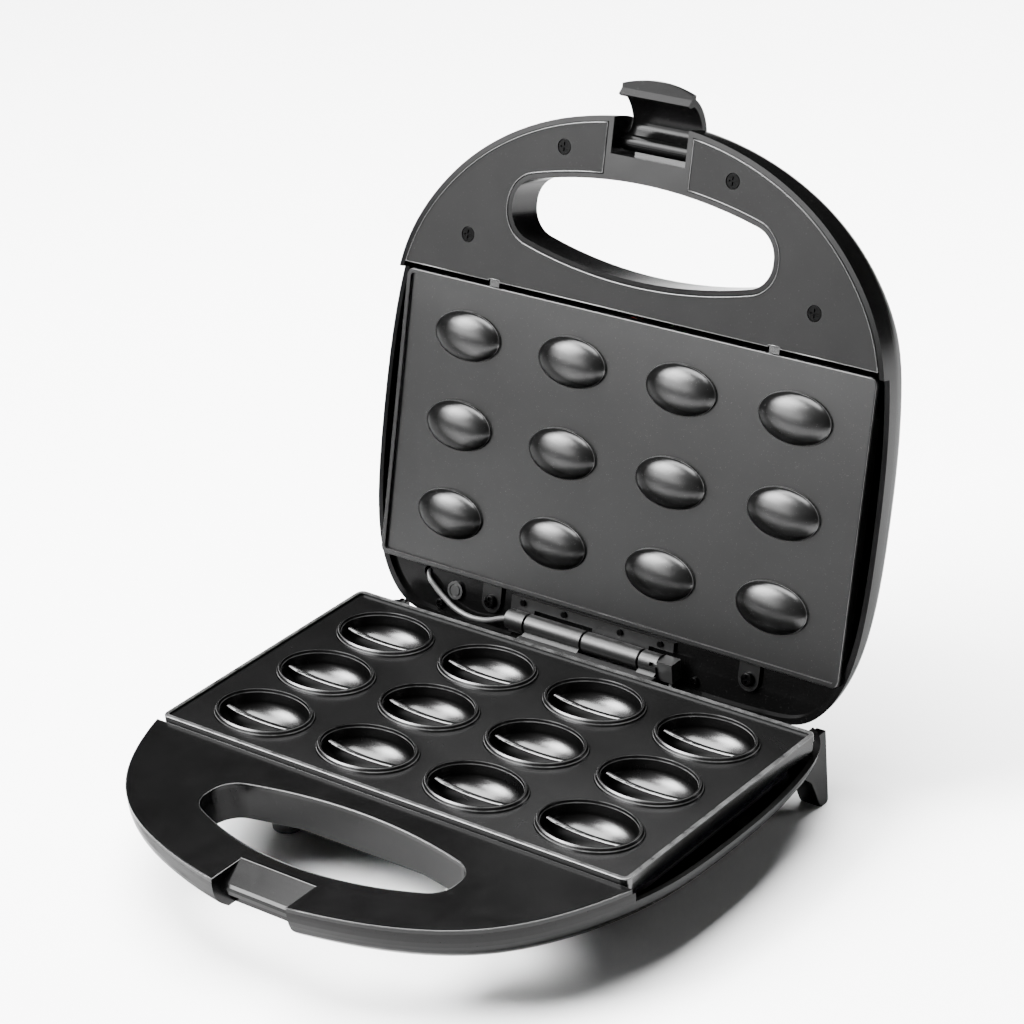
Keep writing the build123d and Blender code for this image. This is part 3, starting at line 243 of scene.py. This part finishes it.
materials = {
    "shell_gloss": moulded("shell_gloss", 0.0010, 0.0015, (0.16, 0.22), grain=0.0000012, ripple=0.00002, spec=0.09, dust=0.02,
                            fall=(0.006, 0.40, 0.72)),
    "cover_gloss": moulded("cover_gloss", 0.0010, 0.0014, (0.16, 0.22), grain=0.0000016, ripple=0.000012, spec=0.14, dust=0.02,
                            fall=(0.02, 0.42, 0.68)),
    "cover_matte": moulded("cover_matte", 0.0048, 0.0062, (0.42, 0.50), grain=0.000012, grain_scale=2200, spec=0.065, dust=0.04),
    # lower plate: the two height bands paint highlight lines along the raised bead and the cavity rings
    "lower_coating": coated("lower_coating", 0.0006, 0.0010, (0.24, 0.28), 0.010, 0.000003, spec=0.46, fall=(0.05, 0.35, 0.55), joint=((0, 0, 1), -ZP),
                            highlight_bands=[(-0.00050, -0.00018, 0.00008, 1.0), (0.00074, 0.00090, 0.00006, 0.6)], highlight_tone=0.055),
    # upper plate: the two height bands paint highlight lines along the raised bead and around the dome bases
    "upper_coating": coated("upper_coating", 0.0011, 0.0019, (0.28, 0.30), 0.12, 0.000003, spec=0.30, fall=(0.03, 0.225, 0.345),
                            joint=((0, 0.961262, -0.275637), -0.052214),
                            highlight_bands=[(0.00114, 0.00127, 0.00005, 0.6), (0.00034, 0.00050, 0.00006, 1.0)], highlight_tone=0.075),
    "heater_steel": metal("heater_steel", 0.20, 0.30, (0.38, 0.55), (8, 60, 60), tint=(1.0, 0.93, 0.86), stain=0.5),
    "spring_steel": metal("spring_steel", 0.42, 0.55, (0.28, 0.40), (60, 8, 60)),
    "pan_metal": metal("pan_metal", 0.34, 0.46, (0.36, 0.5), (6, 60, 60), stain=0.2),
    "thermostat_metal": metal("thermostat_metal", 0.50, 0.62, (0.26, 0.38), (60, 60, 8), tint=(1.0, 0.97, 0.9)),
    "fuse_sleeve": moulded("fuse_sleeve", 0.45, 0.62, (0.7, 0.82), grain=0.00006, grain_scale=1500),
    "terminal_plastic": moulded("terminal_plastic", 0.62, 0.70, (0.45, 0.55), grain=0.00001),
    "gland_plastic": moulded("gland_plastic", 0.010, 0.014, (0.40, 0.5), grain=0.00001),
    "lead_sleeve": moulded("lead_sleeve", 0.09, 0.13, (0.62, 0.74), grain=0.00004, grain_scale=1800),
    "lead_grey": moulded("lead_grey", 0.02, 0.03, (0.38, 0.50), grain=0.000012, grain_scale=1800),
    "foot_rubber": moulded("foot_rubber", 0.012, 0.018, (0.62, 0.76), grain=0.00003, grain_scale=1300, dust=0.2),
    "screw_black": metal("screw_black", 0.0015, 0.004, (0.30, 0.42), (40, 40, 40)),
    "hinge_plastic": moulded("hinge_plastic", 0.0030, 0.0045, (0.32, 0.40), grain=0.00001, grain_scale=2000, spec=0.22, dust=0.08),
    "cap_plastic": moulded("cap_plastic", 0.010, 0.014, (0.28, 0.36), grain=0.000006),
    "tube_steel": metal("tube_steel", 0.045, 0.08, (0.26, 0.36), (6, 60, 60)),
    "clip_metal": metal("clip_metal", 0.035, 0.06, (0.22, 0.32), (60, 8, 60)),
    "lens_red": lens_material("lens_red", (0.30, 0.008, 0.006), (0.46, 0.016, 0.010), 0.0),
    "lens_green": lens_material("lens_green", (0.010, 0.20, 0.035), (0.02, 0.32, 0.06), 0.0),
    "latch_plastic": moulded("latch_plastic", 0.0010, 0.0015, (0.18, 0.24), grain=0.0000012, ripple=0.000015, spec=0.05, dust=0.03,
                              fall=(0.006, 0.36, 0.66)),
}
edge_plastic = moulded("edge_plastic", 0.010, 0.016, (0.20, 0.28), grain=0.000002, spec=0.5)
glass = Nodes("lamp_glass")
glass.set(Base_Color=glass.ramp(glass.noise(600, 3, 0.5), [(0.3, (0.80, 0.74, 0.66)), (0.7, (0.90, 0.86, 0.80))]),
          Roughness=glass.span(glass.noise(800, 3, 0.5), 0.3, 0.7, 0.03, 0.1), Transmission_Weight=0.9, IOR=1.47)
materials["lamp_glass"] = glass.mat

for entry in frame["record"]["subparts"]:
    obj = nodes[entry["node"]]
    obj.data.materials.clear()
    obj.data.materials.append(materials[entry["material_slot"]])
    for poly in obj.data.polygons:
        poly.material_index = 0


# ---------------------------------------------------------------------------
# rounded beads along the covers' edges
# ---------------------------------------------------------------------------
LID_UP, LID_OFF = (0, 0.961262, -0.275637), -0.052214
BASE_UP, BASE_OFF = (0, 0, 1), -ZP


def edge_chains(node, up, off, lo, hi, shortest):
    """Runs of sharp edges of a node that lie between two heights over the plate joint."""
    bm = bmesh.new()
    bm.from_mesh(nodes[node].data)
    bmesh.ops.remove_doubles(bm, verts=bm.verts, dist=0.000002)
    up = Vector(up)
    links = {}
    for e in bm.edges:
        if len(e.link_faces) == 2 and e.calc_face_angle(0.0) > math.radians(30):
            if all(lo <= v.co.dot(up) + off <= hi for v in e.verts):
                a, b = (v.index for v in e.verts)
                links.setdefault(a, []).append(b)
                links.setdefault(b, []).append(a)
    bm.verts.ensure_lookup_table()
    runs, seen = [], set()
    for start in sorted(links, key=lambda v: (len(links[v]) == 2, v)):
        for first in links[start]:
            if (start, first) in seen:
                continue
            run = [start]
            a, b = start, first
            while True:
                seen.update(((a, b), (b, a)))
                run.append(b)
                onward = [c for c in links[b] if (b, c) not in seen]
                if len(links[b]) != 2 or not onward:
                    break
                a, b = b, onward[0]
            points = [bm.verts[i].co.copy() for i in run]
            if sum((q - p).length for p, q in zip(points, points[1:])) > shortest:
                runs.append(points)
    bm.free()
    return runs


def edge_bead(name, node, body, up, off, lo, hi, radius, shortest, keep=None):
    data = bpy.data.curves.new(name, "CURVE")
    data.dimensions = "3D"
    data.bevel_depth = radius
    data.bevel_resolution = 2
    for points in edge_chains(node, up, off, lo, hi, shortest):
        if keep and not keep(points):
            continue
        closed = (points[0] - points[-1]).length < 1e-6
        if closed:
            points = points[:-1]
        spline = data.splines.new("POLY")
        spline.points.add(len(points) - 1)
        for p, q in zip(spline.points, points):
            p.co = (*q, 1.0)
        spline.use_cyclic_u = closed
    obj = bpy.data.objects.new(name, data)
    bpy.context.scene.collection.objects.link(obj)
    data.materials.append(edge_plastic)
    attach(obj, body)
    print("bead", name, [len(s.points) for s in data.splines])
    return obj


edge_bead("lid_cover_bead", "lid_handle_cover", "lid", LID_UP, LID_OFF, -0.00084, -0.00076, 0.00032, 0.05)
edge_bead("base_opening_bead", "base_handle_cover", "base", BASE_UP, BASE_OFF, -0.00285, -0.00275, 0.00022, 0.05)

# ---------------------------------------------------------------------------
# floor, light and camera
# ---------------------------------------------------------------------------
floor_mesh = bpy.data.meshes.new("floor")
floor_mesh.from_pydata([(-6, -6, 0), (6, -6, 0), (6, 6, 0), (-6, 6, 0)], [], [(0, 1, 2, 3)])
floor = bpy.data.objects.new("floor", floor_mesh)
bpy.context.scene.collection.objects.link(floor)
fl = Nodes("floor_paper")
fl.set(Base_Color=fl.ramp(fl.noise(6, 4, 0.5), [(0.3, 0.90), (0.7, 0.92)]), Roughness=0.9, Specular_IOR_Level=0.1)
floor_mesh.materials.append(fl.mat)

world = bpy.data.worlds.new("studio")
bpy.context.scene.world = world
world.use_nodes = True
wt = world.node_tree
bg = wt.nodes["Background"]
wc = wt.nodes.new("ShaderNodeTexCoord")
dot = wt.nodes.new("ShaderNodeVectorMath")
dot.operation = "DOT_PRODUCT"
wt.links.new(wc.outputs["Generated"], dot.inputs[0])
dot.inputs[1].default_value = (-0.50, -0.86, -0.05)
span = wt.nodes.new("ShaderNodeMapRange")
wt.links.new(dot.outputs["Value"], span.inputs["Value"])
span.inputs["From Min"].default_value = -0.35
span.inputs["From Max"].default_value = 0.9
span.inputs["To Min"].default_value = WORLD_DARK
span.inputs["To Max"].default_value = WORLD_LIGHT
wt.links.new(span.outputs["Result"], bg.inputs["Strength"])
bg.inputs["Color"].default_value = (1.0, 1.0, 1.0, 1.0)


def area(name, location, target, size, radiance, spread=180):
    """Rectangular soft box of the given radiance straight ahead, facing its target; a spread below 180 is a grid."""
    data = bpy.data.lights.new(name, "AREA")
    data.shape = "RECTANGLE"
    data.size, data.size_y = size
    data.energy = radiance * math.pi * size[0] * size[1]
    if spread < 180:
        half = math.radians(spread / 2)
        data.spread = 2 * half
        data.energy *= (math.tan(half) - half) / math.tan(half)
    obj = bpy.data.objects.new(name, data)
    bpy.context.scene.collection.objects.link(obj)
    obj.location = location
    obj.rotation_mode = "QUATERNION"
    obj.rotation_quaternion = (Vector(target) - Vector(location)).to_track_quat("-Z", "Y")
    return obj


area("overhead", (-0.55, 0.5, 2.2), (-0.55, 0.5, 0), (2.1, 2.1), 32.0)
area("key", (-1.25, -0.95, 1.5), (0, 0.05, 0.15), (1.3, 1.3), 110.0, 52)
area("front_box", (-0.42, -0.50, 0.40), (-0.02, 0.06, 0.36), (0.66, 0.30), 27.0, 64)
area("rear_strip", (1.5, 1.6, 0.9), (0, 0, 0.1), (0.5, 1.2), 3.0)

cam_data = bpy.data.cameras.new("camera")
cam_data.lens = 119.640258
cam_data.sensor_width = 36.0
cam_data.clip_start, cam_data.clip_end = 0.05, 50
cam = bpy.data.objects.new("camera", cam_data)
bpy.context.scene.collection.objects.link(cam)
cam.matrix_world = Matrix(((0.784501, -0.225283, 0.577759, 0.717602),
                           (0.616049, 0.389793, -0.684503, -0.826814),
                           (-0.071, 0.892921, 0.444579, 0.668072),
                           (0, 0, 0, 1)))
bpy.context.scene.camera = cam
